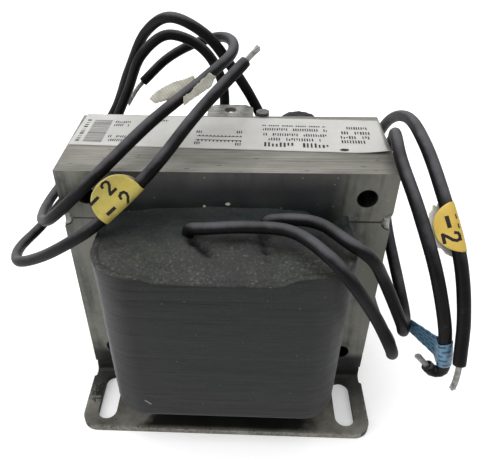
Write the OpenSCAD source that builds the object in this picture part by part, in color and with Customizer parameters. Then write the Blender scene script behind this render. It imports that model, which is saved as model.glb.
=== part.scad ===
// Control transformer: stacked core, coil with two standing ends, pressed base and flying leads.
// Frame: origin at the bottom centre of the base, +Z up, leads of the primary at the front (-Y).

/* [Core] */
// Width of the lamination stack
core_w = 95.25; // [90:0.25:115]
// Height of the lamination stack
core_h = 79.375; // [76:0.125:96]
// Depth of the lamination stack
core_d = 36; // [30:0.5:44]
// Width of each outer leg, of the yoke and of the I strip
leg_w = 15.875; // [13:0.125:17]
// Diameter of the four through holes
core_hole_d = 5.6; // [4:0.1:7]
// Radius of the weld notch in each side face
notch_r = 2.9; // [1.5:0.1:4]

/* [Base] */
// Thickness of the base sheet
sheet_t = 2.2; // [1.5:0.1:3]
// Height of the pressed step from flange to core
step_h = 6; // [4:0.5:9]
// How far the flanges reach past the core on the left and on the right
flange_over = 0.875; // [0.375:0.125:4]
// How far each flange stands out in front of the core or behind it
flange_out = 23.3; // [21:0.1:32]
// Radius of the flange corners
flange_r = 5.5; // [2:0.5:8]
// Width of each mounting slot
slot_w = 6.4; // [4:0.1:7.5]
// Overall length of each mounting slot
slot_len = 18.6; // [12:0.1:20]
// Distance from the middle of a slot to the side edge of its flange
slot_inset = 7.9; // [6:0.1:8.5]
// Distance from the core to the middle of a slot
slot_out = 10.8; // [9:0.1:13]

/* [Coil] */
// How far the coil ends reach past the windows on the left and on the right
coil_over = 3; // [2.5:0.25:7]
// How far each coil end stands out of the core
coil_out = 27; // [22:0.5:33]
// How far the coil ends reach above the windows
coil_above = 1.5; // [0.5:0.25:8]
// How far the coil ends reach below the windows
coil_below = 9.875; // [2:0.125:11]
// Corner radius of the coil ends seen from above
coil_r = 11; // [6:0.5:14]
// Thickness of the taped wrap
wrap_t = 1.6; // [1:0.1:2.5]
// How far the filling lies below the rim of the wrap
rim_drop = 1; // [0.5:0.1:2]
// How far the winding inside reaches out of the core
winding_out = 14; // [8:0.5:18]

/* [Top] */
// Length of the nameplate label
label_w = 94; // [60:0.5:95]
// Depth of the nameplate label
label_d = 21.6; // [14:0.2:26]
// Thickness of the label
label_t = 0.3; // [0.2:0.1:0.5]
// Tilt of the label on the core top, in degrees
label_tilt = -2.4; // [-3:0.1:3]
// Width of the earthing tab
tab_w = 15; // [10:0.5:20]
// How far the tab stands out behind the core
tab_out = 9; // [6:0.5:12]
// Thickness of the tab
tab_t = 1.6; // [1:0.1:2.5]
// Diameter of the hole in the tab
tab_hole_d = 4; // [3:0.1:5]

/* [Leads] */
// Diameter of the lead insulation
lead_d = 3.4; // [2.6:0.1:4]
// Diameter of the stripped conductor
wire_d = 1.9; // [1.4:0.1:2.4]
// Length of a stripped end, of which the four leads show 0.6 to 1.2
strip_len = 8; // [5:0.5:12]

/* [Hidden] */
$fn = 48;

// Clearance between pieces that are put together
fit_gap = 0.1;
// Heights of the core and of the coil ends above the ground
core_z = sheet_t + step_h;
core_top = core_z + core_h;
seam_z = core_top - leg_w;
coil_z = core_z + leg_w - coil_below;
coil_top = seam_z + coil_above;
coil_h = coil_top - coil_z;
filling_top = coil_top - rim_drop;
// Width of the coil ends and outline of the base
coil_w = core_w - 2*leg_w + 2*coil_over;
flange_w = core_w + 2*flange_over;
base_d = core_d + 2*flange_out;
slot_x = flange_w/2 - slot_inset;
slot_y = core_d/2 + slot_out;
// Places of the through holes, on the middle of the legs
hole_x = core_w/2 - leg_w/2;
hole_low = core_z + leg_w/2;
hole_high = core_top - leg_w/2;
// The step of the base stands just inside the core
riser_in = 1;
riser_y = core_d/2 - riser_in;
bend_r = 1.6;
// The base is a little narrower under the core than at the flanges
relief = 0.8;
// Winding seen from above: it fills the windows of the core
winding_gap = 0.5;
winding_x_in = leg_w + winding_gap;
winding_x_out = core_w/2 - leg_w - winding_gap;
winding_y_in = core_d/2 + winding_gap;
winding_y_out = core_d/2 + winding_out;
winding_z = core_z + leg_w + winding_gap;
winding_h = core_h - 2*leg_w - 2*winding_gap;
// Places on the core top
label_y = core_d/2 - label_d/2 - 1.2;
tab_x = 0.4;
tab_hole_y = core_d/2 + tab_out - 4.2;
tab_chamfer = 2.4;
tab_leg = 10;
nub_x = 11;
nub_r = 2.1;
tab_weld_r = 1.2;

// Routes of the leads, from where they leave the filling to the cut of the insulation
primary_a = [
    [-9.5, -28, 72.2], [-9.5, -28, 75.3], [-5.5, -30.5, 77.6], [7, -30, 78], [18, -32.8, 78.8],
    [27, -43, 78.3], [31.7, -45.5, 73.8], [40.3, -44.5, 60], [45.5, -45.5, 50], [47.8, -42, 43.5],
    [49.3, -33, 39.5], [50.5, -15, 30.5], [51.5, 5, 27], [52.5, 26, 32], [52.5, 38, 48],
    [52.5, 36.5, 65], [53, 25, 82.5], [53.4, 6, 93], [53.3, -14, 94.5], [55.2, -28.5, 88.5],
    [59.2, -39.5, 76.5], [61.4, -46.5, 63], [61.8, -51.5, 50.8]
];
primary_b = [
    [11.5, -24, 72.2], [11.5, -24, 75.2], [16, -25.5, 77.5], [25, -28, 78.3], [32.5, -36.3, 78],
    [38.3, -37, 73.8], [43.2, -34.3, 65], [51, -35, 48.5], [53.2, -32.5, 42.8], [54.6, -27.5, 43.5],
    [53, -22, 50.2], [50.2, -7, 62], [50.7, 6, 68], [51, 12.5, 76], [50.7, 7, 85.6], [48, -4, 92.3],
    [47, -17, 91.3], [49.3, -32, 85], [53.5, -41.5, 73.5], [57.2, -46.5, 60.5], [58.5, -47.3, 54.6],
    [59.8, -47.4, 48.3], [60, -47.2, 43.2], [58.2, -46.8, 42.4], [56.2, -46.5, 44.2]
];
secondary_a = [
    [11.5, 31, 72.2], [11.5, 31, 79], [7.5, 31, 88], [0.5, 29.5, 99.7], [-7.6, 28.5, 110.3],
    [-18.2, 30, 115.2], [-28, 37.5, 108.7], [-37.3, 45, 92.5], [-47, 52, 73], [-58, 38, 61],
    [-64.5, 15, 56.3], [-61.3, -2, 60.5], [-55.5, -13, 66.8], [-49.1, -20, 73.9],
    [-34, -20.8, 88.5], [-21, -8, 97.3], [-6.3, 7.5, 104.4], [0.7, 20, 107], [0.3, 34, 106.8],
    [-5, 45, 104.5], [-15, 49.5, 100.2], [-24, 50, 95], [-32.8, 47.5, 87.5]
];
secondary_b = [
    [-2, 31, 72.2], [-2, 31, 80], [-2.5, 33, 92], [-7, 35.5, 101], [-13.4, 35.5, 106.4],
    [-21.3, 35, 108.2], [-29.7, 34.5, 102], [-37.2, 38.5, 87], [-47, 39, 69], [-58, 27, 56],
    [-66.3, 8, 50.3], [-69.5, -7, 51], [-65.2, -18, 54.7], [-54.7, -24.5, 61.8], [-42.5, -29, 71.3],
    [-34.8, -29, 77], [-19.7, -21.5, 89.5], [-7.4, -8.5, 100.8], [5.2, 4.4, 110.2]
];
tube_sides = 8;

// Balls under the lump on the rear filling: distances from the inside of the wrap at the side
// and at the rear, height above the filling, radius
lump_balls = [
    [12.2, 5.4, 0, 3.2], [7.2, 4.9, 0, 4.2], [4, 6.4, 0, 2.6],
    [12, 5.6, 4.4, 3], [7, 5.3, 4.4, 4], [4.4, 6.6, 4.4, 2.5]
];

// Tags: thickness, radius and offset of the disc from the lead, place on the lead,
// direction of the lead there and of the flag
tag_t = 0.5;
primary_tag_r = 6.5;
primary_tag_shift = -1.5;
primary_tag_at = [57.3, -34.8, 82.6];
primary_tag_along = [0.22, -0.65, -0.73];
primary_tag_out = [-1, -0.2, -0.1];
tag_b_r = 7;
tag_b_shift = 1.2;
tag_b_at = [-27.5, -26.2, 83];
tag_b_along = [0.7, 0.38, 0.6];
tag_b_out = [-0.6, -0.15, 0.8];
tag_a_r = 6;
tag_a_shift = -1.2;
tag_a_slides = [-4, 1];
tag_a_at = [-10.4, 3.1, 102.5];
tag_a_along = [0.66, 0.69, 0.3];
tag_a_out = [-0.5, 0.24, 0.72];
tape_from = [56.3, -29.8, 42.8];
tape_to = [59, -45.1, 49.5];
tape_w_from = 5;
tape_w_to = 7;

// Rectangle with round corners, built from plain squares and circles
module round_rect(size, r) {
    square([size[0] - 2*r, size[1]], center = true);
    square([size[0], size[1] - 2*r], center = true);
    for (sx = [-1, 1], sy = [-1, 1])
        translate([sx*(size[0]/2 - r), sy*(size[1]/2 - r)]) circle(r);
}

// Extrusion of a flat shape drawn in X and Z, centred on the stack
module across_stack(depth) {
    rotate([90, 0, 0]) linear_extrude(depth, center = true) children();
}

// Round hole through the stack at a place in X and Z
module stack_hole(x, z, d) {
    translate([x, 0, z]) rotate([90, 0, 0]) cylinder(h = core_d + 2, d = d, center = true);
}

module weld_notches() {
    for (side = [-1, 1]) stack_hole(side*core_w/2, seam_z, 2*notch_r);
}

module e_laminations() {
    window_w = core_w/2 - 2*leg_w;
    color([0.36, 0.36, 0.33]) difference() {
        translate([0, 0, core_z]) across_stack(core_d) difference() {
            translate([-core_w/2, 0]) square([core_w, core_h - leg_w]);
            for (side = [-1, 1])
                translate([side*(leg_w + window_w/2) - window_w/2, leg_w]) square([window_w, core_h]);
        }
        for (side = [-1, 1]) stack_hole(side*hole_x, hole_low, core_hole_d);
        weld_notches();
    }
}

module i_laminations() {
    color([0.4, 0.4, 0.37]) difference() {
        translate([-core_w/2, -core_d/2, seam_z]) cube([core_w, core_d, leg_w]);
        for (side = [-1, 1]) stack_hole(side*hole_x, hole_high, core_hole_d);
        weld_notches();
    }
}

// Bead that fills a notch flush with the side face
module weld_bead(side) {
    bead_r = notch_r - fit_gap/2;
    color([0.7, 0.7, 0.68]) intersection() {
        translate([side*core_w/2, 0, seam_z]) rotate([90, 0, 0])
            cylinder(h = core_d, r = bead_r, center = true);
        translate([side*(core_w/2 - bead_r), 0, seam_z]) cube([2*bead_r, core_d, 2*bead_r], center = true);
    }
}
module left_weld_bead() { weld_bead(-1); }
module right_weld_bead() { weld_bead(1); }

// Points of a bend in the base profile: centre, radius, first and last angle
function bend(c, r, a0, a1) = [for (i = [0:6]) c + r*[cos(a0 + (a1 - a0)*i/6), sin(a0 + (a1 - a0)*i/6)]];

// Half of the hat-shaped profile of the base, in Y and Z
half_profile = concat(
    [[0, step_h]],
    bend([riser_y - sheet_t - bend_r, step_h - bend_r], bend_r, 90, 0),
    bend([riser_y + bend_r, bend_r + sheet_t], bend_r + sheet_t, 180, 270),
    [[base_d/2, 0], [base_d/2, sheet_t]],
    bend([riser_y + bend_r, bend_r + sheet_t], bend_r, 270, 180),
    bend([riser_y - sheet_t - bend_r, step_h - bend_r], bend_r + sheet_t, 0, 90),
    [[0, core_z]]
);

module mounting_slot() {
    for (end = [-1, 1])
        translate([0, end*(slot_len - slot_w)/2, -1]) cylinder(h = sheet_t + 2, d = slot_w);
    translate([-slot_w/2, -(slot_len - slot_w)/2, -1]) cube([slot_w, slot_len - slot_w, sheet_t + 2]);
}

module base() {
    color([0.42, 0.41, 0.37]) difference() {
        intersection() {
            for (end = [0, 1]) mirror([0, end, 0])
                rotate([90, 0, 90]) linear_extrude(flange_w, center = true) polygon(half_profile);
            linear_extrude(core_z + 1) round_rect([flange_w, base_d], flange_r);
        }
        for (side = [-1, 1]) {
            translate([side*flange_w/2, 0, core_z/2])
                cube([2*relief, core_d + 2*bend_r, core_z + 2], center = true);
            for (end = [-1, 1]) {
                translate([side*flange_w/2, end*(core_d/2 + bend_r), -1])
                    cylinder(h = core_z + 2, r = relief);
                translate([side*slot_x, end*slot_y, 0]) mounting_slot();
            }
        }
    }
}

module winding() {
    color([0.45, 0.25, 0.12]) translate([0, 0, winding_z]) linear_extrude(winding_h) difference() {
        round_rect([2*winding_x_out, 2*winding_y_out], 6);
        square([2*winding_x_in, 2*winding_y_in], center = true);
    }
}

// Plan of a coil end, shrunk on its three free sides
module coil_plan(shrink) {
    w = coil_w - 2*shrink;
    r = coil_r - shrink;
    difference() {
        round_rect([w, core_d + 2*coil_out - 2*shrink], r);
        square([coil_w + 1, core_d], center = true);
        translate([-coil_w, 0]) square([2*coil_w, core_d + coil_out]);
    }
}

module coil_wrap() {
    color([0.16, 0.17, 0.18]) difference() {
        translate([0, 0, coil_z]) linear_extrude(coil_h) coil_plan(0);
        translate([0, 0, coil_z + wrap_t]) linear_extrude(coil_h) coil_plan(wrap_t);
    }
}

module coil_filling() {
    pocket_x = winding_x_out + fit_gap;
    pocket_y = winding_y_out + fit_gap;
    color([0.24, 0.24, 0.2]) difference() {
        translate([0, 0, coil_z + wrap_t]) linear_extrude(filling_top - coil_z - wrap_t)
            coil_plan(wrap_t + fit_gap);
        translate([-pocket_x, -pocket_y, winding_z - fit_gap])
            cube([2*pocket_x, pocket_y, winding_h + 2*fit_gap]);
    }
}

module front_coil_wrap() { coil_wrap(); }
module rear_coil_wrap() { mirror([0, 1, 0]) coil_wrap(); }
module front_coil_filling() { coil_filling(); }
module rear_coil_filling() { mirror([0, 1, 0]) coil_filling(); }

// Lump of varnish and tape ends that stands on the rear filling
module rear_varnish_lump() {
    side = coil_w/2 - wrap_t;
    rear = core_d/2 + coil_out - wrap_t;
    color([0.2, 0.2, 0.18]) intersection() {
        hull() for (ball = lump_balls)
            translate([side - ball[0], rear - ball[1], filling_top + ball[2]]) sphere(ball[3], $fn = 24);
        translate([-coil_w/2, core_d/2, filling_top]) cube([coil_w, coil_out, coil_h]);
    }
}

module nameplate_label() {
    color([0.87, 0.86, 0.83]) translate([0, 0, core_top]) linear_extrude(label_t) intersection() {
        translate([0, label_y]) rotate(label_tilt) square([label_w, label_d], center = true);
        square([core_w, core_d], center = true);
    }
}

// Drilled tab level with the core top, bent down against the rear face
module earth_tab() {
    half = tab_w/2;
    rear = core_d/2;
    color([0.5, 0.5, 0.48]) translate([tab_x, 0, core_top - tab_t]) difference() {
        union() {
            linear_extrude(tab_t) polygon([
                [-half, rear], [half, rear], [half, rear + tab_out - tab_chamfer],
                [half - tab_chamfer, rear + tab_out], [tab_chamfer - half, rear + tab_out],
                [-half, rear + tab_out - tab_chamfer]
            ]);
            translate([-half, rear, tab_t - tab_leg]) cube([tab_w, tab_t, tab_leg]);
        }
        translate([0, tab_hole_y, -1]) cylinder(h = tab_t + 2, d = tab_hole_d);
    }
}

module earth_tab_weld() {
    color([0.66, 0.66, 0.64]) intersection() {
        translate([tab_x, core_d/2, core_top - tab_leg - fit_gap]) rotate([0, 90, 0])
            cylinder(h = tab_w - 2, r = tab_weld_r, center = true);
        translate([tab_x - tab_w, core_d/2, core_top - tab_leg - fit_gap - tab_w])
            cube([2*tab_w, tab_w, tab_w]);
    }
}

module weld_nub() {
    color([0.62, 0.62, 0.6]) difference() {
        translate([nub_x, core_d/2 + nub_r - 0.6, core_top - 4]) cylinder(h = 5, r = nub_r);
        translate([-core_w/2, -core_d/2, 0]) cube([core_w, core_d, core_top + label_t + fit_gap]);
    }
}

// Direction of the route at point i, and the ring's first axis carried along it
function unit(v) = v/norm(v);
function heading(p, i) = unit(
    (i == 0 ? p[1] : i == len(p) - 1 ? p[i] : p[i + 1]) - (i == 0 ? p[0] : p[i - 1]));
function square_to(v, h) = unit(v - (v*h)*h);
function ring_axes(p) = [
    for (i = 0, a = square_to([1, 0.3, 0.1], heading(p, 0)); i < len(p);
        i = i + 1, a = i < len(p) ? square_to(a, heading(p, i)) : a) a];

// Tube of one closed surface along a route
module tube(p, d) {
    axes = ring_axes(p);
    points = [for (i = [0:len(p) - 1]) let (h = heading(p, i), a = axes[i], b = cross(h, a))
        for (k = [0:tube_sides - 1]) let (t = 360*k/tube_sides) p[i] + d/2*(cos(t)*a + sin(t)*b)];
    n = tube_sides;
    sides = [for (i = [0:len(p) - 2], k = [0:n - 1])
        let (m = (k + 1) % n) [i*n + k, (i + 1)*n + k, (i + 1)*n + m, i*n + m]];
    ends = [[for (k = [0:n - 1]) k], [for (k = [n - 1:-1:0]) (len(p) - 1)*n + k]];
    polyhedron(points, concat(sides, ends), convexity = 10);
}

// Stands children, made along +Z, at the end of a route and in its direction
module at_end(p) {
    h = heading(p, len(p) - 1);
    translate(p[len(p) - 1]) rotate([0, acos(h[2]), atan2(h[1], h[0])]) children();
}

module lead(p) { color([0.13, 0.13, 0.15]) tube(p, lead_d); }
module wire(p, length) { color([0.75, 0.74, 0.72]) at_end(p) cylinder(h = length, d = wire_d, $fn = 24); }

module primary_lead_a() { lead(primary_a); }
module primary_lead_b() { lead(primary_b); }
module secondary_lead_a() { lead(secondary_a); }
module secondary_lead_b() { lead(secondary_b); }
module primary_wire_a() { wire(primary_a, 0.9*strip_len); }
module primary_wire_b() { wire(primary_b, 0.6*strip_len); }
module secondary_wire_a() { wire(secondary_a, 1.2*strip_len); }
module secondary_wire_b() { wire(secondary_b, 0.75*strip_len); }

// Right-handed frame at a point: X along the lead, Y out of it
module frame_at(origin, along, out) {
    a = unit(along);
    b = square_to(out, a);
    c = cross(a, b);
    multmatrix([
        [a[0], b[0], c[0], origin[0]],
        [a[1], b[1], c[1], origin[1]],
        [a[2], b[2], c[2], origin[2]],
        [0, 0, 0, 1]
    ]) children();
}

// Half of a round tag, folded flat beside a lead, with its disc moved out by shift
module half_tag(r, shift = 0) {
    clear = lead_d/2 + fit_gap;
    translate([0, 0, -tag_t/2]) intersection() {
        translate([0, shift, 0]) cylinder(h = tag_t, r = r);
        translate([-r, clear, 0]) cube([2*r, 2*r, tag_t]);
    }
}

module primary_tag() {
    color([0.83, 0.68, 0.22]) frame_at(primary_tag_at, primary_tag_along, primary_tag_out)
        half_tag(primary_tag_r, primary_tag_shift);
}

module secondary_tag_b() {
    color([0.8, 0.74, 0.3]) frame_at(tag_b_at, tag_b_along, tag_b_out)
        half_tag(tag_b_r, tag_b_shift);
}

// The open tag shows its paper back: one half on each side of the lead
module secondary_tag_a() {
    color([0.8, 0.77, 0.66]) frame_at(tag_a_at, tag_a_along, tag_a_out) {
        translate([tag_a_slides[0], 0, 0]) half_tag(tag_a_r, tag_a_shift);
        translate([tag_a_slides[1], 0, 0]) rotate([180, 0, 0]) half_tag(tag_a_r, tag_a_shift);
    }
}

// Twisted strip of tape between the two primary leads
module tape_flag() {
    color([0.25, 0.5, 0.68]) hull() {
        translate(tape_from) cube([tag_t, tag_t, tape_w_from], center = true);
        translate(tape_to) cube([tag_t, tag_t, tape_w_to], center = true);
    }
}

base();
e_laminations();
i_laminations();
left_weld_bead();
right_weld_bead();
winding();
front_coil_wrap();
rear_coil_wrap();
front_coil_filling();
rear_coil_filling();
rear_varnish_lump();
nameplate_label();
earth_tab();
earth_tab_weld();
weld_nub();
primary_lead_a();
primary_lead_b();
secondary_lead_a();
secondary_lead_b();
primary_wire_a();
primary_wire_b();
secondary_wire_a();
secondary_wire_b();
primary_tag();
tape_flag();
secondary_tag_a();
secondary_tag_b();
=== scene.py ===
from math import acos, ceil, copysign, cos, exp, floor, pi, radians, sin, sqrt, tau

import bpy
from mathutils import Matrix, Vector, noise


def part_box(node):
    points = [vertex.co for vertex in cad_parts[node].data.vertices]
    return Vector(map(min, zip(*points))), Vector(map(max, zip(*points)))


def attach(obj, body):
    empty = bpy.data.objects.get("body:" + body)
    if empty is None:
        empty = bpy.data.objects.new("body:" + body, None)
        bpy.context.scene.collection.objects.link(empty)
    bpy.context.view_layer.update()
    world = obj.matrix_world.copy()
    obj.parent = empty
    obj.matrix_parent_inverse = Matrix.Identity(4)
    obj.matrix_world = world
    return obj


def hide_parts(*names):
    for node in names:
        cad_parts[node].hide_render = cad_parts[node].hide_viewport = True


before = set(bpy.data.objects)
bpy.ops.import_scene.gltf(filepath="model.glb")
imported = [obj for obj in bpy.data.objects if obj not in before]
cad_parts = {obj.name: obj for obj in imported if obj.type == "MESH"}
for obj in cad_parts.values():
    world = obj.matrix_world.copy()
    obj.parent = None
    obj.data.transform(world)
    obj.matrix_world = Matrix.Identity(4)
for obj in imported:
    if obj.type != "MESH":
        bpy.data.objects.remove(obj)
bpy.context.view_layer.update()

MM = 0.001


def corners_of(node):
    """The lowest and the highest corner of a CAD node, in millimetres."""
    return [[round(value / MM, 3) for value in corner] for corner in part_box(node)]


# Sizes in millimetres, read off the frame where it holds them
(_, _, CORE_Z), (CORE_HALF_X, CORE_HALF_Y, SEAM_Z) = corners_of("e_laminations")
CORE_TOP = corners_of("i_laminations")[1][2]
BASE_HALF_X, BASE_HALF_Y, _ = corners_of("base")[1]
(_, _, COIL_Z), (COIL_HALF_X, coil_back, COIL_TOP) = corners_of("rear_coil_wrap")
COIL_OUT = coil_back - CORE_HALF_Y
LEG_W = CORE_TOP - SEAM_Z
COIL_R = 11.0
FOOT_R = 2.0
RIM_R = 0.9
FILLING_INSET = 1.3
LEAD_R = 1.7
PAPER_T = 0.14
TAPE_T = 0.12


# ---- camera
def add_camera():
    pitch = radians(37.21)
    yaw = radians(-3.39)
    roll = radians(1.09)
    forward = Vector((
        sin(yaw) * cos(pitch),
        cos(yaw) * cos(pitch),
        -sin(pitch),
    ))
    level = Vector((cos(yaw), -sin(yaw), 0.0))
    up = level.cross(forward)
    right = cos(roll) * level - sin(roll) * up
    up = sin(roll) * level + cos(roll) * up
    data = bpy.data.cameras.new("camera")
    data.sensor_fit = "HORIZONTAL"
    data.sensor_width = 36
    data.lens = 38.89
    data.shift_x = 0.0613
    data.shift_y = 0.0123
    data.clip_start = 0.01
    camera = bpy.data.objects.new("camera", data)
    turn = Matrix((right, up, -forward)).transposed().to_4x4()
    camera.matrix_world = Matrix.Translation(Vector((5.83, -145.51, 162.6)) * MM) @ turn
    bpy.context.scene.collection.objects.link(camera)
    bpy.context.scene.camera = camera


add_camera()


# ---- node helpers
class Value:
    """An output of a material's node, which adds, subtracts and multiplies like a number."""

    def __init__(self, material, socket):
        self.material = material
        self.socket = socket

    def __add__(self, other):
        return self.material.math("ADD", self, other)

    def __sub__(self, other):
        return self.material.math("SUBTRACT", self, other)

    def __rsub__(self, other):
        return self.material.math("SUBTRACT", other, self)

    def __mul__(self, other):
        return self.material.math("MULTIPLY", self, other)

    def __abs__(self):
        return self.material.math("ABSOLUTE", self)


def larger(a, b):
    return a.material.math("MAXIMUM", a, b)


def grey(value):
    return (value, value, value)


class Material:
    """A node material with short ways to add the nodes that the finishes share."""

    def __init__(self, name):
        self.data = bpy.data.materials.new(name)
        self.data.use_nodes = True
        self.tree = self.data.node_tree
        self.shader = self.tree.nodes["Principled BSDF"]
        self.color = None
        coords = self.add("ShaderNodeTexCoord", {})
        self.place = Value(self, coords.outputs["Object"])
        self.uv = Value(self, coords.outputs["UV"])

    def add(self, kind, inputs, **settings):
        node = self.tree.nodes.new(kind)
        for name, value in settings.items():
            setattr(node, name, value)
        for key, value in inputs.items():
            self.put(node.inputs[key], value)
        return node

    def put(self, socket, value):
        if isinstance(value, Value):
            self.tree.links.new(value.socket, socket)
        elif socket.type == "RGBA":
            socket.default_value = (*value, 1.0)
        else:
            socket.default_value = value

    def value(self, kind, inputs, key=0, **settings):
        """Adds a node and gives one of its outputs."""
        return Value(self, self.add(kind, inputs, **settings).outputs[key])

    def scaled(self, scale):
        """The place on the object, stretched by one number or by one for each axis."""
        scale = scale if isinstance(scale, tuple) else (scale,) * 3
        return self.value("ShaderNodeMapping", {"Vector": self.place, "Scale": scale})

    def noise(self, scale, detail=4.0, rough=0.55):
        inputs = {"Vector": self.scaled(scale), "Scale": 1.0, "Detail": detail, "Roughness": rough}
        return self.value("ShaderNodeTexNoise", inputs, "Fac")

    def dots(self, scale, radius):
        """1 in small round dots, 0 elsewhere; only some cells hold one."""
        cells = self.add("ShaderNodeTexVoronoi", {"Vector": self.scaled(scale), "Scale": 1.0})
        near = self.math("LESS_THAN", Value(self, cells.outputs["Distance"]), radius)
        draw = self.value("ShaderNodeSeparateColor", {"Color": Value(self, cells.outputs["Color"])})
        return near * self.math("GREATER_THAN", draw, 0.62)

    def spot(self, center, radius):
        """1 in a ragged spot round a point given in metres, 0 outside it."""
        inputs = {0: self.place, 1: center}
        distance = self.value("ShaderNodeVectorMath", inputs, "Value", operation="DISTANCE")
        ragged = self.span(self.noise(900, 3), -1.4 * radius, 1.4 * radius)
        return self.step(distance + ragged, radius * 1.3, radius * 0.9)

    def axis(self, index, source=None):
        return self.value("ShaderNodeSeparateXYZ", {"Vector": source or self.place}, index)

    def normal(self, index):
        """One axis of the surface's normal."""
        return self.axis(index, self.value("ShaderNodeNewGeometry", {}, "Normal"))

    def math(self, operation, a, b=0.0):
        return self.value("ShaderNodeMath", {0: a, 1: b}, operation=operation)

    def step(self, value, low, high):
        """0 below low, 1 above high and smooth between; falls where high is below low."""
        inputs = {
            "Value": value,
            "From Min": min(low, high),
            "From Max": max(low, high),
            "To Min": 0.0 if low < high else 1.0,
            "To Max": 1.0 if low < high else 0.0,
        }
        return self.value("ShaderNodeMapRange", inputs, interpolation_type="SMOOTHSTEP")

    def span(self, value, low, high):
        """value from 0..1 stretched to low..high."""
        return self.value("ShaderNodeMapRange", {"Value": value, "To Min": low, "To Max": high})

    def ramp(self, value, stops):
        node = self.add("ShaderNodeValToRGB", {"Fac": value})
        elements = node.color_ramp.elements
        while len(elements) < len(stops):
            elements.new(0.5)
        for element, (position, color) in zip(elements, stops):
            element.position = position
            element.color = (*color, 1.0)
        return Value(self, node.outputs["Color"])

    def mix(self, factor, a, b):
        return self.value("ShaderNodeMix", {0: factor, 6: a, 7: b}, 2, data_type="RGBA")

    def coat(self, amount, color):
        """Lays a colour over the one that is there, as thickly as amount says."""
        self.color = self.mix(amount, self.color, color)

    def bump(self, height, strength, distance, under=None):
        inputs = {"Height": height, "Strength": strength, "Distance": distance}
        if under:
            inputs["Normal"] = under
        return self.value("ShaderNodeBump", inputs)

    def finish(self, rough, normal=None, metallic=0.0, specular=0.5):
        inputs = self.shader.inputs
        self.put(inputs["Base Color"], self.color)
        self.put(inputs["Roughness"], rough)
        self.put(inputs["Metallic"], metallic)
        self.put(inputs["Specular IOR Level"], specular)
        if normal:
            self.put(inputs["Normal"], normal)
        return self.data


# ---- finishes
# Places and thresholds are in metres, as the shaders take them.
def laminations_finish():
    m = Material("laminations")
    streak = m.noise((25, 2600, 25), 6, 0.7)
    broad = m.noise((45, 160, 45), 4)
    cloud = m.noise(70, 6, 0.6)
    upright = m.noise((260, 260, 22), 5, 0.6)
    fine = m.noise(900, 3)
    # the sheets' edges: brushed grey with olive varnish
    edge = m.ramp(streak, [
        (0.3, (0.056, 0.053, 0.045)), (0.5, (0.17, 0.164, 0.143)), (0.72, (0.35, 0.342, 0.31)),
    ])
    stain = m.ramp(broad, [(0.38, (0.088, 0.086, 0.071)), (0.62, (0.25, 0.243, 0.215))])
    edge = m.mix(0.45, edge, stain)
    grime = m.dots((210, 700, 700), 0.17)
    edge = m.mix(grime * 0.7, edge, (0.03, 0.029, 0.026))
    # the front and back sheets: dark varnish, paler and streaked towards the sides and the top
    x = m.axis(0)
    z = m.axis(2)
    side = m.step(abs(x), 0.029, 0.0375)
    high = m.step(z, 0.0805, 0.0876)
    low = m.step(z, 0.0125, 0.0165)
    pale = larger(side * 0.95, high * 0.22) * m.step(cloud + upright, 0.6, 1.15) * low
    dark = m.ramp(cloud, [(0.3, (0.007, 0.009, 0.009)), (0.7, (0.020, 0.024, 0.022))])
    unshaded_face = m.ramp(cloud, [(0.3, (0.021, 0.022, 0.025)), (0.7, (0.036, 0.036, 0.038))])
    # painted shade: the face is darker below about 80 mm, just over the coil's top, and paler above
    dark = m.mix(m.step(z + cloud * 0.006, 0.0785, 0.0835), dark, unshaded_face)
    dark = m.mix(low, grey(0.004), dark)
    face = m.mix(pale, dark, (0.165, 0.163, 0.138))
    # the joint between the legs and the closing sheets
    joint = abs(z - SEAM_Z * MM) + (cloud - 0.5) * 0.0006
    face = m.mix(m.step(joint, 0.00045, 0.00015), face, (0.008, 0.008, 0.007))
    dust_and_top_light = m.dots(420, 0.11)
    face = m.mix(dust_and_top_light * 0.3, face, (0.35, 0.35, 0.32))
    for chip_x, chip_z, chip_size in [(0.0009, 0.0773, 0.0005), (-0.0059, 0.0765, 0.0004)]:
        chip = m.spot((chip_x, -CORE_HALF_Y * MM, chip_z), chip_size)
        face = m.mix(chip, face, (0.5, 0.5, 0.47))
    facing = m.step(abs(m.normal(1)), 0.55, 0.8)
    m.color = m.mix(facing, edge, face)
    # painted shade: the walls of the four round holes are near black
    hole_x = abs(x) - (CORE_HALF_X - LEG_W / 2) * MM
    hole_z = abs(z - (CORE_TOP + CORE_Z) / 2 * MM) - ((CORE_TOP - CORE_Z) / 2 - LEG_W / 2) * MM
    reach = m.math("SQRT", hole_x * hole_x + hole_z * hole_z)
    inner = m.step(reach, 0.00315, 0.00275)
    m.coat(inner, grey(0.004))
    rough = m.span(fine * 0.5 + cloud * 0.5, 0.32, 0.62)
    grooves = streak * (1.0 - facing)
    under = m.bump(grooves + cloud * 0.4, 0.35, 0.0004)
    return m.finish(rough, m.bump(fine, 0.12, 0.0002, under), m.span(facing, 0.45, 0.05), 0.35)


def cloudy_metal(name, grain, stops, rough, relief, metallic=0.7):
    """Metal whose colour, shine and relief follow one cloud."""
    m = Material(name)
    cloud = m.noise(*grain)
    m.color = m.ramp(cloud, stops)
    return m.finish(m.span(cloud, *rough), m.bump(cloud, *relief), metallic)


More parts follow.
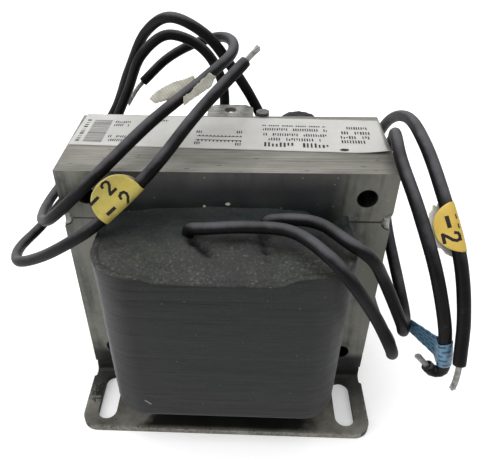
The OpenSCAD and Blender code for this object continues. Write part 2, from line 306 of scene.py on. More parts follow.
def base_finish():
    m = Material("base")
    cloud = m.noise(90, 7, 0.65)
    grain = m.noise(1100, 3)
    pits = m.dots(520, 0.17)
    x = abs(m.axis(0))
    y = abs(m.axis(1))
    rim_x = BASE_HALF_X * MM
    rim_y = BASE_HALF_Y * MM
    m.color = m.ramp(cloud, [
        (0.28, (0.045, 0.043, 0.035)), (0.52, (0.14, 0.135, 0.115)), (0.74, (0.23, 0.224, 0.195)),
    ])
    wear_and_highlight = larger(
        m.step(x, rim_x - 0.0013, rim_x - 0.0001),
        m.step(y, rim_y - 0.0011, rim_y - 0.0001),
    )
    wear_and_highlight = wear_and_highlight * m.step(grain, 0.42, 0.56)
    m.coat(wear_and_highlight * 0.4, (0.3, 0.29, 0.26))
    m.coat(pits * 0.55, (0.018, 0.017, 0.015))
    # painted shadow under the coil, and painted shade along the core and on the raised seat
    edge = (cloud - 0.5) * 0.03
    coil_shadow = m.step(x + edge, 0.031, 0.023) * m.step(y, rim_y - 0.0001, rim_y - 0.0018)
    near = m.step(y, 0.032, 0.022)
    raised = m.step(m.axis(2), 0.0024, 0.0030)
    dirt_and_shade = larger(coil_shadow, larger(near * 0.85, raised))
    # dirt and painted shade: a patch beside the front left slot, and the upright walls inside the
    # outline: slots and step
    dirt_and_shade = larger(dirt_and_shade, m.spot((-0.0425, -0.0265, 0.004), 0.0046))
    upright = m.step(abs(m.normal(2)), 0.7, 0.5)
    inside = m.step(x, rim_x - 0.0004, rim_x - 0.0008) * m.step(y, rim_y - 0.0004, rim_y - 0.0008)
    dirt_and_shade = larger(dirt_and_shade, upright * inside)
    m.coat(dirt_and_shade * 0.96, grey(0.003))
    height = cloud + grain * 0.4 - pits
    return m.finish(m.span(cloud, 0.48, 0.75), m.bump(height, 0.5, 0.0003), 0.2, 0.3)


def wrap_finish():
    m = Material("coil_wrap")
    lines = m.noise((14, 14, 2100), 6, 0.75)
    creases = m.noise((11, 11, 620), 3, 0.5)
    bands = m.noise((16, 16, 170), 4, 0.6)
    cloud = m.noise(38, 4, 0.55)
    grain = m.noise(1900, 2)
    x = m.axis(0)
    z = m.axis(2)
    m.color = m.ramp(lines, [
        (0.32, (0.003, 0.0032, 0.0032)), (0.55, (0.0075, 0.008, 0.0077)), (0.78, (0.018, 0.019, 0.0185)),
    ])
    # greenish varnish over the middle, duller and purplish towards the sides and the foot
    drift = (cloud - 0.5) * 0.05
    middle = m.step(abs(x - 0.002) + drift, 0.029, 0.015) * m.step(z + drift, 0.018, 0.036)
    m.coat(0.55, m.mix(middle, (0.0085, 0.0065, 0.0095), (0.0032, 0.0082, 0.0062)))
    m.coat(m.step(grain, 0.5, 0.7) * 0.28, (0.026, 0.028, 0.025))
    # darker at the low corners
    corner = m.step(abs(x), 0.026, 0.034) * m.step(z, 0.06, 0.03)
    m.coat(corner * 0.6, grey(0.003))
    # dark thin creases, their darkness painted shade, most of them in the upper part
    crease = m.step(creases, 0.54, 0.57) * m.step(creases, 0.62, 0.58)
    crease = crease * m.span(m.step(z, 0.05, 0.064), 0.2, 0.8)
    m.coat(crease, (0.0015, 0.0017, 0.0017))
    # painted highlights: a paler line down the left corner with a broad paler band beside it, and a
    # duller one down the right
    left = m.step(x, -0.0352, -0.0340) * m.step(x, -0.0316, -0.0334)
    broad_highlight = m.step(x, -0.024, -0.031) * m.span(m.step(z, 0.03, 0.06), 0.04, 0.2)
    right = m.step(x, 0.029, 0.0315) * m.span(m.step(z, 0.03, 0.06), 0.05, 0.25)
    wear_and_highlight = larger(larger(left, right) * m.step(bands, 0.25, 0.55), broad_highlight)
    m.coat(wear_and_highlight * 0.6, (0.10, 0.10, 0.105))
    # a shadow line at the foot, one slanting scratch and a little dust
    m.coat(m.step(z, 0.0172, 0.0152) * 0.7, grey(0.003))
    scratch_z = z - 0.0216
    scratch = m.step(abs(x + 0.0231 + scratch_z * 0.9), 0.0003, 0.00015)
    scratch = scratch * m.step(abs(scratch_z), 0.0011, 0.0008)
    m.coat(scratch * 0.8, (0.3, 0.3, 0.29))
    dust_and_top_light = m.dots(330, 0.05)
    m.coat(dust_and_top_light * 0.4, (0.3, 0.3, 0.28))
    height = lines + bands * 0.8 - crease
    return m.finish(m.span(bands, 0.44, 0.66), m.bump(height, 0.3, 0.0004), 0.0, 0.24)


def filling_finish():
    m = Material("coil_filling")
    cloud = m.noise(110, 6, 0.65)
    broad = m.noise(45, 3)
    grit = m.noise(1300, 4, 0.7)
    m.color = m.ramp(cloud, [
        (0.3, (0.010, 0.0105, 0.0105)), (0.55, (0.027, 0.028, 0.026)), (0.75, (0.05, 0.051, 0.047)),
    ])
    tint = m.ramp(broad, [(0.38, (0.03, 0.034, 0.025)), (0.62, (0.03, 0.029, 0.035))])
    m.coat(0.4, tint)
    # dark smooth varnish near the core, coarse pale grit away from it
    drift = (broad - 0.5) * 0.02
    away = abs(m.axis(1)) + drift
    pool = m.step(away, 0.033, 0.024)
    m.coat(pool * 0.75, (0.0075, 0.0125, 0.0115))
    coarse = m.step(grit, 0.52, 0.7) * m.span(m.step(cloud, 0.35, 0.6), 0.25, 0.7)
    coarse = coarse * m.span(m.step(away, 0.026, 0.038), 0.12, 1.0)
    m.coat(coarse, (0.12, 0.12, 0.10))
    m.coat(m.step(grit, 0.45, 0.3) * 0.6, grey(0.006))
    # painted shade: black in the hollows, whose depth the mesh carries
    m.coat(m.axis(0, m.uv), grey(0.002))
    specks = m.dots(620, 0.075)
    m.coat(specks * 0.45, (0.3, 0.3, 0.28))
    height = cloud * 1.2 + grit * 0.5
    return m.finish(m.span(cloud, 0.5, 0.75), m.bump(height, 0.6, 0.0005), 0.0, 0.25)


def winding_finish():
    m = Material("winding")
    turns = m.noise((30, 30, 1200), 4)
    cloud = m.noise(240, 4)
    m.color = m.ramp(turns, [(0.35, (0.012, 0.007, 0.004)), (0.65, (0.045, 0.02, 0.009))])
    bare = m.step(cloud, 0.66, 0.72) * m.step(turns, 0.45, 0.6)
    m.coat(bare * 0.6, (0.3, 0.1, 0.03))
    return m.finish(m.span(turns, 0.35, 0.6), m.bump(turns, 0.5, 0.0004))


def label_finish():
    m = Material("label")
    cloud = m.noise(60, 5)
    grain = m.noise(1600, 3)
    m.color = m.ramp(cloud, [(0.3, (0.36, 0.357, 0.34)), (0.65, (0.45, 0.446, 0.425))])
    dirt = m.step(cloud, 0.62, 0.8) * 0.4
    m.coat(dirt, (0.3, 0.29, 0.26))
    return m.finish(m.span(grain, 0.4, 0.55), m.bump(grain, 0.08, 0.0002), 0.0, 0.3)


def ink_finish():
    m = Material("black_ink")
    m.color = (0.012, 0.012, 0.013)
    grain = m.noise(1500, 3)
    wear_and_highlight = m.step(grain, 0.6, 0.75) * 0.12
    m.coat(wear_and_highlight, (0.4, 0.38, 0.3))
    return m.finish(m.span(grain, 0.45, 0.65), m.bump(grain, 0.1, 0.0001), 0.0, 0.2)


def steel_finish():
    m = Material("bare_steel")
    brush = m.noise((60, 1800, 300), 5, 0.65)
    cloud = m.noise(160, 5)
    m.color = m.ramp(brush, [(0.3, (0.13, 0.127, 0.117)), (0.7, (0.42, 0.413, 0.39))])
    m.coat(m.step(cloud, 0.45, 0.7), (0.1, 0.097, 0.085))
    return m.finish(m.span(cloud, 0.3, 0.6), m.bump(brush, 0.25, 0.0002), 0.7)


def lead_finish():
    m = Material("lead")
    cloud = m.noise(140, 5, 0.6)
    fine = m.noise(1400, 3)
    m.color = m.ramp(cloud, [(0.3, (0.002, 0.0019, 0.0023)), (0.7, (0.0052, 0.005, 0.006))])
    # grey dust on the upper side, and painted light: the upper side is lighter as if lit from above
    up = m.normal(2) + (cloud - 0.5) * 0.5
    dust_and_top_light = m.ramp(cloud, [(0.3, (0.048, 0.0475, 0.052)), (0.7, (0.078, 0.077, 0.084))])
    m.coat(m.step(up, 0.42, 1.0), dust_and_top_light)
    scuff = m.step(fine, 0.58, 0.74) * m.step(cloud, 0.45, 0.65)
    m.coat(scuff * 0.3, grey(0.06))
    height = cloud + fine * 0.2
    return m.finish(m.span(cloud, 0.42, 0.58), m.bump(height, 0.2, 0.0003), 0.0, 0.1)


def paper_finish(name, low, high, rough=0.5):
    m = Material(name)
    cloud = m.noise(180, 5, 0.6)
    grain = m.noise(2200, 2)
    m.color = m.ramp(cloud, [(0.3, low), (0.7, high)])
    normal = m.bump(cloud * 0.6 + grain * 0.2, 0.2, 0.0003)
    return m.finish(m.span(grain, rough - 0.1, rough + 0.1), normal, 0.0, 0.3)


def torn_paper_finish():
    """Paper that lost its print: fine fibres and faint cross stripes."""
    m = Material("torn_paper")
    stripe = m.math("SINE", m.axis(0, m.uv) * 7.0)
    cloud = m.noise(220, 6, 0.7)
    m.color = m.ramp(cloud, [(0.3, (0.3, 0.285, 0.235)), (0.65, (0.5, 0.485, 0.42))])
    m.coat(m.step(stripe, 0.1, 0.9) * 0.3, (0.2, 0.185, 0.15))
    height = cloud + stripe * 0.15
    return m.finish(m.span(cloud, 0.6, 0.8), m.bump(height, 0.4, 0.0003), 0.0, 0.2)


def tape_finish():
    m = Material("blue_tape")
    along = m.axis(0, m.uv)
    across = m.axis(1, m.uv)
    # five rows of dark dashes across the tape's width
    row = m.math("FRACT", across * 5.0)
    in_row = m.step(row, 0.24, 0.32) * m.step(row, 0.74, 0.66)
    dash = m.math("FRACT", along + m.math("FLOOR", across * 5.0) * 0.37)
    ink = in_row * m.step(dash, 0.72, 0.66)
    cloud = m.noise(160, 4)
    m.color = m.ramp(cloud, [(0.3, (0.04, 0.115, 0.19)), (0.7, (0.09, 0.21, 0.32))])
    m.coat(ink * 0.85, (0.006, 0.014, 0.03))
    return m.finish(m.span(cloud, 0.32, 0.48), m.bump(cloud, 0.15, 0.0003), 0.0, 0.4)


LAMINATIONS = laminations_finish()
BASE = base_finish()
STEEL = steel_finish()
WELD = cloudy_metal(
    "weld", (500, 5, 0.65),
    [(0.3, (0.09, 0.09, 0.085)), (0.55, (0.36, 0.36, 0.345)), (0.75, (0.7, 0.7, 0.68))],
    (0.28, 0.6), (0.6, 0.0004),
)
NUB = cloudy_metal(
    "burnt_steel", (420, 5, 0.65), [(0.3, (0.03, 0.029, 0.027)), (0.7, (0.16, 0.158, 0.15))],
    (0.3, 0.55), (0.4, 0.0003),
)
STRAND = cloudy_metal(
    "tinned_strands", (900, 4), [(0.3, (0.15, 0.145, 0.135)), (0.7, (0.42, 0.415, 0.4))],
    (0.34, 0.55), (0.2, 0.0001), 0.8,
)
WRAP = wrap_finish()
FILLING = filling_finish()
WINDING = winding_finish()
LEAD = lead_finish()
LABEL = label_finish()
INK = ink_finish()
YELLOW = paper_finish("yellow_print", (0.36, 0.29, 0.06), (0.5, 0.42, 0.11), 0.42)
AMBER = paper_finish("amber_print", (0.42, 0.28, 0.045), (0.54, 0.38, 0.085), 0.42)
BACKING = paper_finish("paper_back", (0.46, 0.445, 0.38), (0.62, 0.605, 0.54), 0.65)
TORN = torn_paper_finish()
TAPE = tape_finish()


# ---- mesh helpers
def clamp(value):
    return min(1.0, max(0.0, value))


def eased(share):
    return share * share * (3 - 2 * share)


def shares(count):
    """Equal steps from 0 to 1."""
    return [i / (count - 1) for i in range(count)]


def circle(count):
    """(cosine, sine) of equal steps once round."""
    return [(cos(tau * k / count), sin(tau * k / count)) for k in range(count)]


def wobble(x, y, z, scale, seed=0.0):
    """Smooth noise from about -1 to 1 at a point, with bumps about 1 / scale across."""
    return noise.noise(Vector((x * scale + seed, y * scale - seed, z * scale + 2.3 * seed)))


def link(obj):
    bpy.context.scene.collection.objects.link(obj)
    return obj


def add_mesh(name, points, faces, materials, uvs=None):
    """An object from points in millimetres; uvs holds one pair for each point."""
    mesh = bpy.data.meshes.new(name)
    mesh.from_pydata([tuple(Vector(p) * MM) for p in points], [], faces)
    for material in materials:
        mesh.materials.append(material)
    mesh.polygons.foreach_set("use_smooth", [True] * len(mesh.polygons))
    if uvs:
        layer = mesh.uv_layers.new(name="UVMap")
        for loop in mesh.loops:
            layer.data[loop.index].uv = uvs[loop.vertex_index]
    mesh.update()
    return link(bpy.data.objects.new(name, mesh))


def put_in(obj, node):
    """Makes a piece part of the root body and hides the CAD node that it stands for."""
    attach(obj, "root")
    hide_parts(node)
    return obj


def put_on(obj, base):
    """Makes a piece of print part of the piece that it lies on."""
    obj.parent = base
    return obj


def thicken(obj, thickness, offset=0.0, inside=0):
    """Gives a sheet its thickness; inside is the material number of its other face."""
    skin = obj.modifiers.new("sheet", "SOLIDIFY")
    skin.thickness = thickness * MM
    skin.offset = offset
    skin.material_offset = inside


def grid_faces(rows, columns, ring=False, start=0):
    """Quads between rows of points; ring joins the last column to the first."""
    faces = []
    for i in range(rows - 1):
        for j in range(columns if ring else columns - 1):
            k = (j + 1) % columns
            a = start + i * columns
            b = a + columns
            faces.append((a + j, a + k, b + k, b + j))
    return faces


def turned(faces):
    """The same faces seen from their other side."""
    return [tuple(reversed(face)) for face in faces]


def along(line, place):
    """The point at a place counted in the line's points, and the line's direction there."""
    low = min(max(floor(place), 0), len(line) - 2)
    start = Vector(line[low])
    end = Vector(line[low + 1])
    return start.lerp(end, place - low), (end - start).normalized()


def smooth_line(points, step):
    """Centripetal curve through points, cut into equal steps of about that length."""
    knots = [Vector(p) for p in points]
    knots = [2 * knots[0] - knots[1]] + knots + [2 * knots[-1] - knots[-2]]
    cuts = 24
    dense = []
    for i in range(1, len(knots) - 2):
        p0, p1, p2, p3 = knots[i - 1:i + 3]
        t1 = (p1 - p0).length ** 0.5
        t2 = t1 + (p2 - p1).length ** 0.5
        t3 = t2 + (p3 - p2).length ** 0.5
        for k in range(cuts):
            t = t1 + (t2 - t1) * k / cuts
            a1 = p0.lerp(p1, t / t1)
            a2 = p1.lerp(p2, (t - t1) / (t2 - t1))
            a3 = p2.lerp(p3, (t - t2) / (t3 - t2))
            b1 = a1.lerp(a2, t / t2)
            b2 = a2.lerp(a3, (t - t1) / (t3 - t1))
            dense.append(b1.lerp(b2, (t - t1) / (t2 - t1)))
    dense.append(knots[-2])
    reach = [0.0]
    for a, b in zip(dense, dense[1:]):
        reach.append(reach[-1] + (b - a).length)
    count = max(2, round(reach[-1] / step))
    line = []
    j = 0
    for i in range(count + 1):
        want = reach[-1] * i / count
        while j < len(reach) - 2 and reach[j + 1] < want:
            j += 1
        share = (want - reach[j]) / (reach[j + 1] - reach[j])
        line.append(dense[j].lerp(dense[j + 1], min(1.0, share)))
    return line, reach[-1]


def carried_frames(line):
    """(direction, side, other side) at each point, with the sides carried along without twist."""
    frames = []
    side = Vector((1.0, 0.3, 0.1))
    for i in range(len(line)):
        ahead = (line[min(i + 1, len(line) - 1)] - line[max(i - 1, 0)]).normalized()
        side = (side - side.dot(ahead) * ahead).normalized()
        frames.append((ahead, side, ahead.cross(side)))
    return frames


def tube_points(line, frames, radii, sides):
    points = []
    for p, (ahead, a, b), r in zip(line, frames, radii):
        points += [p + r * (cosine * a + sine * b) for cosine, sine in circle(sides)]
    return points


# ---- leads
PRIMARY_A = [
    (-9.5, -28, 72.2), (-9.5, -28, 75.3), (-5.5, -30.5, 77.6), (7, -30, 78), (18, -32.8, 78.8),
    (27, -43, 78.3), (31.7, -45.5, 73.8), (40.3, -44.5, 60), (45.5, -45.5, 50), (47.8, -42, 43.5),
    (49.3, -33, 39.5), (50.5, -15, 30.5), (51.5, 5, 27), (52.5, 26, 32), (52.5, 38, 48),
    (52.5, 36.5, 65), (53, 25, 82.5), (53.4, 6, 93), (53.3, -14, 94.5), (55.2, -28.5, 88.5),
    (59.2, -39.5, 76.5), (61.4, -46.5, 63), (61.8, -51.5, 50.8),
]
PRIMARY_B = [
    (11.5, -24, 72.2), (11.5, -24, 75.2), (16, -25.5, 77.5), (25, -28, 78.3), (32.5, -36.3, 78),
    (38.3, -37, 73.8), (43.2, -34.3, 65), (51, -35, 48.5), (53.2, -32.5, 42.8), (54.6, -27.5, 43.5),
    (53, -22, 50.2), (50.2, -7, 62), (50.7, 6, 68), (51, 12.5, 76), (50.7, 7, 85.6), (48, -4, 92.3),
    (47, -17, 91.3), (49.3, -32, 85), (53.5, -41.5, 73.5), (57.2, -46.5, 60.5), (58.5, -47.3, 54.6),
    (59.8, -47.4, 48.3), (60, -47.2, 43.2), (58.2, -46.8, 42.4), (56.2, -46.5, 44.2),
]
SECONDARY_A = [
    (11.5, 31, 72.2), (11.5, 31, 79), (7.5, 31, 88), (0.5, 29.5, 99.7), (-7.6, 28.5, 110.3),
    (-18.2, 30, 115.2), (-28, 37.5, 108.7), (-37.3, 45, 92.5), (-47, 52, 73), (-58, 38, 61),
    (-64.5, 15, 56.3), (-61.3, -2, 60.5), (-55.5, -13, 66.8), (-49.1, -20, 73.9),
    (-34, -20.8, 88.5), (-21, -8, 97.3), (-6.3, 7.5, 104.4), (0.7, 20, 107), (0.3, 34, 106.8),
    (-5, 45, 104.5), (-15, 49.5, 100.2), (-24, 50, 95), (-32.8, 47.5, 87.5),
]
SECONDARY_B = [
    (-2, 31, 72.2), (-2, 31, 80), (-2.5, 33, 92), (-7, 35.5, 101), (-13.4, 35.5, 106.4),
    (-21.3, 35, 108.2), (-29.7, 34.5, 102), (-37.2, 38.5, 87), (-47, 39, 69), (-58, 27, 56),
    (-66.3, 8, 50.3), (-69.5, -7, 51), (-65.2, -18, 54.7), (-54.7, -24.5, 61.8), (-42.5, -29, 71.3),
    (-34.8, -29, 77), (-19.7, -21.5, 89.5), (-7.4, -8.5, 100.8), (5.2, 4.4, 110.2),
]
# The rounded lip round the strands: distance past the cut, radius
CUT_LIP = [(0.1, 1.5), (0.1, 1.2), (0.0, 0.95), (-1.2, 0.82)]
# The strands' rings: distance of their middles from the lead's, number of strands
STRAND_RINGS = [(0.62, 12), (0.32, 6), (0.0, 1)]
STRAND_R = 0.165
STRAND_PITCH = 15


class Lead:
    """A lead's insulation, its stripped strands and the line that both follow."""

    def __init__(self, name, route, strip, droop, seed):
        kind, which = name.split("_")
        self.line, self.length = smooth_line(route, 1.1)
        self.frames = carried_frames(self.line)
        self.seed = seed
        self.tube = put_in(self.add_tube(f"{kind}_insulation_{which}"), f"{kind}_lead_{which}")
        strands = self.add_strands(f"{kind}_strands_{which}", strip, Vector(droop))
        self.strands = put_in(strands, f"{kind}_wire_{which}")

    def nearest(self, point):
        """Number of the line's point that lies nearest to a point."""
        return min(range(len(self.line)), key=lambda i: (self.line[i] - point).length)

    def along(self, middle, distance):
        """The point and the direction at a distance from the line's point of that number."""
        return along(self.line, middle + distance / (self.length / (len(self.line) - 1)))

    def add_tube(self, name):
        """The insulation, closed at the cut by a rounded lip."""
        sides = 24
        line = list(self.line)
        frames = list(self.frames)
        radii = [LEAD_R * (1 + 0.012 * wobble(*p, 0.35, self.seed)) for p in line]
        radii[-1] = LEAD_R * 0.97
        for past, r in CUT_LIP:
            line.append(self.line[-1] + self.frames[-1][0] * past)
            frames.append(self.frames[-1])
            radii.append(r)
        points = tube_points(line, frames, radii, sides)
        return add_mesh(name, points, grid_faces(len(line), sides, ring=True), [LEAD])

    def add_strands(self, name, length, droop):
        """Twelve tinned strands laid round six round one, a little open at the tip."""
        ahead, a, b = self.frames[-1]
        rows = 16
        sides = 6
        radii = [STRAND_R] * (rows - 1) + [0.12]
        points = []
        faces = []
        number = 0
        for ring, count in STRAND_RINGS:
            for place in range(count):
                short = 0.09 * abs(wobble(number, 1, 2, 1.7, self.seed))
                short += 0.05 if number % 5 == 0 else 0.0
                open_up = 0.3 * (0.5 + wobble(number, 4, 1, 2.1, self.seed))
                path = []
                for t in shares(rows):
                    turn = tau * (place / count + t * length / STRAND_PITCH)
                    spread = ring * (1 + open_up * t ** 3)
                    reach = length * (1 - short) * t - 0.8 * (1 - t)
                    centre = self.line[-1] + ahead * reach + droop * t * t
                    path.append(centre + spread * (cos(turn) * a + sin(turn) * b))
                faces += grid_faces(rows, sides, ring=True, start=len(points))
                points += tube_points(path, carried_frames(path), radii, sides)
                faces.append(tuple(range(len(points) - sides, len(points))))
                number += 1
        return add_mesh(name, points, faces, [STRAND])

    def declare(self, *pieces):
        self.line[0] * MM
        [p * MM for p in self.line]


primary_a = Lead("primary_a", PRIMARY_A, 7.2, (-1.0, 0.2, -0.4), 1.0)
primary_b = Lead("primary_b", PRIMARY_B, 4.8, (0, 0, 0), 2.0)
secondary_a = Lead("secondary_a", SECONDARY_A, 9.6, (0.7, 0.0, -2.0), 3.0)
secondary_b = Lead("secondary_b", SECONDARY_B, 6.0, (0, 0, 0), 4.0)


# ---- tags
def local_frame(ahead, out):
    """Three directions at right angles: ahead, out from it and across both."""
    a = Vector(ahead).normalized()
    b = (Vector(out) - Vector(out).dot(a) * a).normalized()
    return a, b, a.cross(b)


class Tag:
    """A round marker folded round a lead: x runs along it, y out from it, z across the fold."""

    # Radius of the fold, how far out the flaps no longer follow the lead and how far out they
    # meet, and how far a torn flap's paper stands out past the other one
    HUG = 1.9
    STRAIGHT = 5.0
    NECK = 5.6
    TORN_PAST = 0.9

    def __init__(self, lead, at, ahead, out, radius, shift, gap, curl, torn_side=0):
        self.lead = lead
        self.at = Vector(at)
        self.middle = lead.nearest(self.at)
        self.a, self.b, self.c = local_frame(ahead, out)
        self.radius = radius
        self.shift = shift
        self.gap = gap
        self.curl = curl
        self.torn_side = torn_side

    def tip(self, side):
        """How far out a flap reaches."""
        return self.radius + self.shift - 0.04 + (self.TORN_PAST if side == self.torn_side else 0.0)

    def edge(self, y, side, end):
        """Half the flap's width at y, towards one end of the tag (-1 or 1)."""
        if side != self.torn_side or y < 0:
            return sqrt(max(self.radius ** 2 - (max(y, 0.0) - self.shift) ** 2, 0.0)) + 0.02
        radius = self.radius + self.TORN_PAST
        ragged = 0.9 * wobble(y, end * 3, 0, 0.9, 4) + 0.4 * wobble(y, end * 5, 0, 2.3, 4)
        wide = sqrt(max(radius ** 2 - (y - self.shift) ** 2, 0.0)) + ragged * min(1.0, y / 2)
        return max(0.02, wide)

    def height(self, y):
        """Half the distance between the flaps, which close up from the lead to the neck."""
        if y < 0:
            return sqrt(max(self.HUG ** 2 - y * y, 0.0))
        if y < self.NECK:
            return self.gap + (self.HUG - self.gap) * cos(0.5 * pi * y / self.NECK) ** 2
        return self.gap

    def bend(self, x, y):
        """How far both flaps curl to one side at a place."""
        far = max(0.0, y - self.NECK) / max(0.5, self.radius + self.shift - self.NECK)
        return self.curl * far * far + 0.08 * wobble(x, y, 0, 0.4, self.radius)

    def point(self, x, y, side, lift=0.0):
        """A point of a flap or over it; close to the lead the tag follows the lead's bends."""
        z = side * (self.height(y) + lift) + self.bend(x, y)
        free = eased(clamp((y - self.HUG) / (self.STRAIGHT - self.HUG)))
        centre = self.lead.along(self.middle, x)[0].lerp(self.at + x * self.a, free)
        return centre + y * self.b + z * self.c


def add_tag(name, tag, printed, node):
    """One flap from its tip to the lead, the fold round the lead, and the other flap back out."""
    steps = 26
    columns = 21
    inwards = [1 - share ** 0.8 for share in shares(steps)]
    path = [(tag.tip(1) * share, 1) for share in inwards]
    for i in range(1, 10):
        turn = pi * i / 10
        path.append((-tag.HUG * sin(turn), 1 if turn < pi / 2 else -1))
    path += [(tag.tip(-1) * share, -1) for share in reversed(inwards)]
    points = []
    for y, side in path:
        left = tag.edge(y, side, -1)
        right = tag.edge(y, side, 1)
        points += [tag.point(-left + (left + right) * share, y, side) for share in shares(columns)]
    obj = add_mesh(name, points, turned(grid_faces(len(path), columns)), [printed, BACKING])
    thicken(obj, PAPER_T, inside=1)
    return put_in(obj, node)


# Strokes of the marks in a unit box, and how far the marks lie over the middle of the paper
DIGIT_TWO = [
    (0.02, 0.74), (0.08, 0.92), (0.3, 1.0), (0.52, 0.92), (0.58, 0.73), (0.48, 0.5), (0.2, 0.22),
    (0.02, 0.0), (0.6, 0.0),
]
DASH = [(0.0, 0.5), (0.66, 0.5)]
MARK_LIFT = 0.11


def stroke_quads(shape, half_width):
    """Flat quads along the strokes of a mark, three to a stroke, so that they bend with the tag."""
    quads = []
    for (x0, y0), (x1, y1) in zip(shape, shape[1:]):
        d = Vector((x1 - x0, y1 - y0)).normalized()
        n = Vector((-d.y, d.x)) * half_width
        p = Vector((x0, y0)) - d * half_width * 0.7
        q = Vector((x1, y1)) + d * half_width * 0.7
        for k in range(3):
            s = p.lerp(q, k / 3)
            e = p.lerp(q, (k + 1) / 3)
            quads.append((s - n, s + n, e + n, e - n))
    return quads


def add_marks(name, tag, side, base, places):
    """Plain marks at places (shape, x, y, size, which way y runs) on a flap of a tag."""
    points = []
    faces = []
    for shape, x0, y0, size, way in places:
        for quad in stroke_quads(shape, 0.1 if shape is DIGIT_TWO else 0.13):
            faces.append(tuple(range(len(points), len(points) + 4)))
            for q in quad:
                points.append(tag.point(x0 + q.x * size, y0 + way * q.y * size, side, MARK_LIFT))
    return put_on(add_mesh(name, points, faces, [INK]), base)


secondary_fold = Tag(
    secondary_b, at=(-27.5, -26.2, 83), ahead=(0.7, 0.38, 0.6), out=(-0.6, -0.15, 0.8),
    radius=7.0, shift=1.2, gap=0.15, curl=0.4,
)
secondary_tag = add_tag("secondary_marker", secondary_fold, YELLOW, "secondary_tag_b")
secondary_marks = add_marks("secondary_marker_marks", secondary_fold, 1, secondary_tag, [
    (DASH, -5.4, 3.8, 3.6, 1), (DIGIT_TWO, -0.2, 3.9, 3.6, 1),
    (DASH, -4.4, -0.9, 3.6, 1), (DIGIT_TWO, 1.0, -1.2, 3.6, 1),
])
primary_fold = Tag(
    primary_a, at=(57.3, -34.8, 82.6), ahead=(0.22, -0.65, -0.73), out=(-1, -0.2, -0.1),
    radius=6.5, shift=-1.5, gap=0.2, curl=0.3, torn_side=1,
)
primary_tag = add_tag("primary_marker", primary_fold, AMBER, "primary_tag")
primary_marks = add_marks("primary_marker_marks", primary_fold, -1, primary_tag, [
    (DASH, -2.8, 3.4, 3.6, -1), (DIGIT_TWO, 1.2, 3.4, 3.6, -1),
    (DASH, -3.0, -1.3, 1.4, 1), (DASH, -0.6, -1.3, 1.4, 1), (DASH, 1.8, -1.3, 2.2, 1),
])


# Halves of the torn tag: upper edge, lower edge, 1 behind the lead or -1 in front of it
UPPER_HALF = (
    [(-11, 4.5), (-8.5, 5), (-5.5, 5), (-1.5, 4.5), (1.5, 3.5), (4.5, 3)],
    [(-10.5, 2.5), (-9, 2), (-7.5, 1.5), (-3, 0), (0, 0), (4, 0.5)],
    1,
)
LOWER_HALF = (
    [(-4, -0.5), (-1.5, -0.5), (0.5, 0), (3.5, 0.5), (7, 1)],
    [(-5.5, -2.5), (-2.5, -2.5), (1.5, -2.5), (5, -2.5), (8, -1)],
    -1,
)


def add_open_tag():
    """The tag that shows its torn paper: one ragged half behind the lead and one in front."""
    a, b, c = local_frame((0.7, 0.66, 0.27), (-0.5, 0.24, 0.72))
    at = Vector((-10.4, 2.6, 102.6))
    rows, columns = 12, 41
    points = []
    faces = []
    uvs = []
    for piece, (upper, lower, behind) in enumerate((UPPER_HALF, LOWER_HALF)):
        faces += grid_faces(rows, columns, start=len(points))
        for down in shares(rows):
            for share in shares(columns):
                top = along(upper, share * (len(upper) - 1))[0]
                low = along(lower, share * (len(lower) - 1))[0]
                x, y = top.lerp(low, down)
                y += 0.3 * wobble(x, piece * 7, down, 1.9)
                off = 2.0 + 0.25 * (0.5 + wobble(x, y, piece, 0.45, 5))
                z = -behind * off - 0.03 * y * y
                points.append(at + x * a + y * b + z * c)
                uvs.append((x, y))
    obj = add_mesh("open_marker", points, faces, [TORN], uvs)
    thicken(obj, PAPER_T)
    return put_in(obj, "secondary_tag_a")


open_tag = add_open_tag()


# ---- blue tape
def tape_section(hug, join):
    """(place, offset, is it a flag) of the tape's points: in to the lead, round it and out again.

    A flag's place runs from 0, where the layers join, to 1 at their far end; the others are in mm.
    """
    open_turn = acos(hug / join)
    section = [(1 - i / 16, TAPE_T, True) for i in range(16)]
    for i in range(33):
        turn = open_turn + (tau - 2 * open_turn) * i / 32
        section.append((hug * cos(turn), hug * sin(turn), False))
    return section + [(i / 16, -TAPE_T, True) for i in range(1, 17)]


def add_tape():
    """A tape folded round a lead's lower bend, its layers stuck together up to its last stretch."""
    middle = primary_b.nearest(Vector((59.6, -47.4, 50.0)))
    upper_end = Vector((55.4, -30.2, 45.2))
    lower_end = Vector((56.0, -30.2, 40.2))
    join = 4.0
    width = 8.6
    dash_pitch = 3.4
    rows = 11
    section = tape_section(LEAD_R + 0.18, join)
    points = []
    uvs = []
    reach = 0.0
    for k, (far, off, is_flag) in enumerate(section):
        for share in shares(rows):
            centre, ahead = primary_b.along(middle, (share - 0.5) * width)
            flag = upper_end.lerp(lower_end, share) - centre
            towards = flag.normalized()
            other = ahead.cross(towards).normalized()
            out = far
            ripple = 0.0
            if is_flag:
                out = join + (flag.length - join) * far
                ripple = 0.25 * sin(pi * far) * wobble(out, share * 4, 0, 0.5, 3)
            points.append(centre + towards * out + other * (off + ripple))
            if share == 0 and k:
                reach += (points[-1] - points[-1 - rows]).length
            uvs.append((reach / dash_pitch, share))
    obj = add_mesh("tape_flag_end", points, grid_faces(len(section), rows), [TAPE], uvs)
    thicken(obj, TAPE_T)
    return put_in(obj, "tape_flag")


tape = add_tape()

primary_a.declare(primary_tag, primary_marks)
primary_b.declare(tape)
secondary_a.declare(open_tag)
secondary_b.declare(secondary_tag, secondary_marks)


# ---- coil ends
# Depth at which a hollow of the varnish is painted fully black, as shade
FULL_SHADE_DEPTH = 2.6
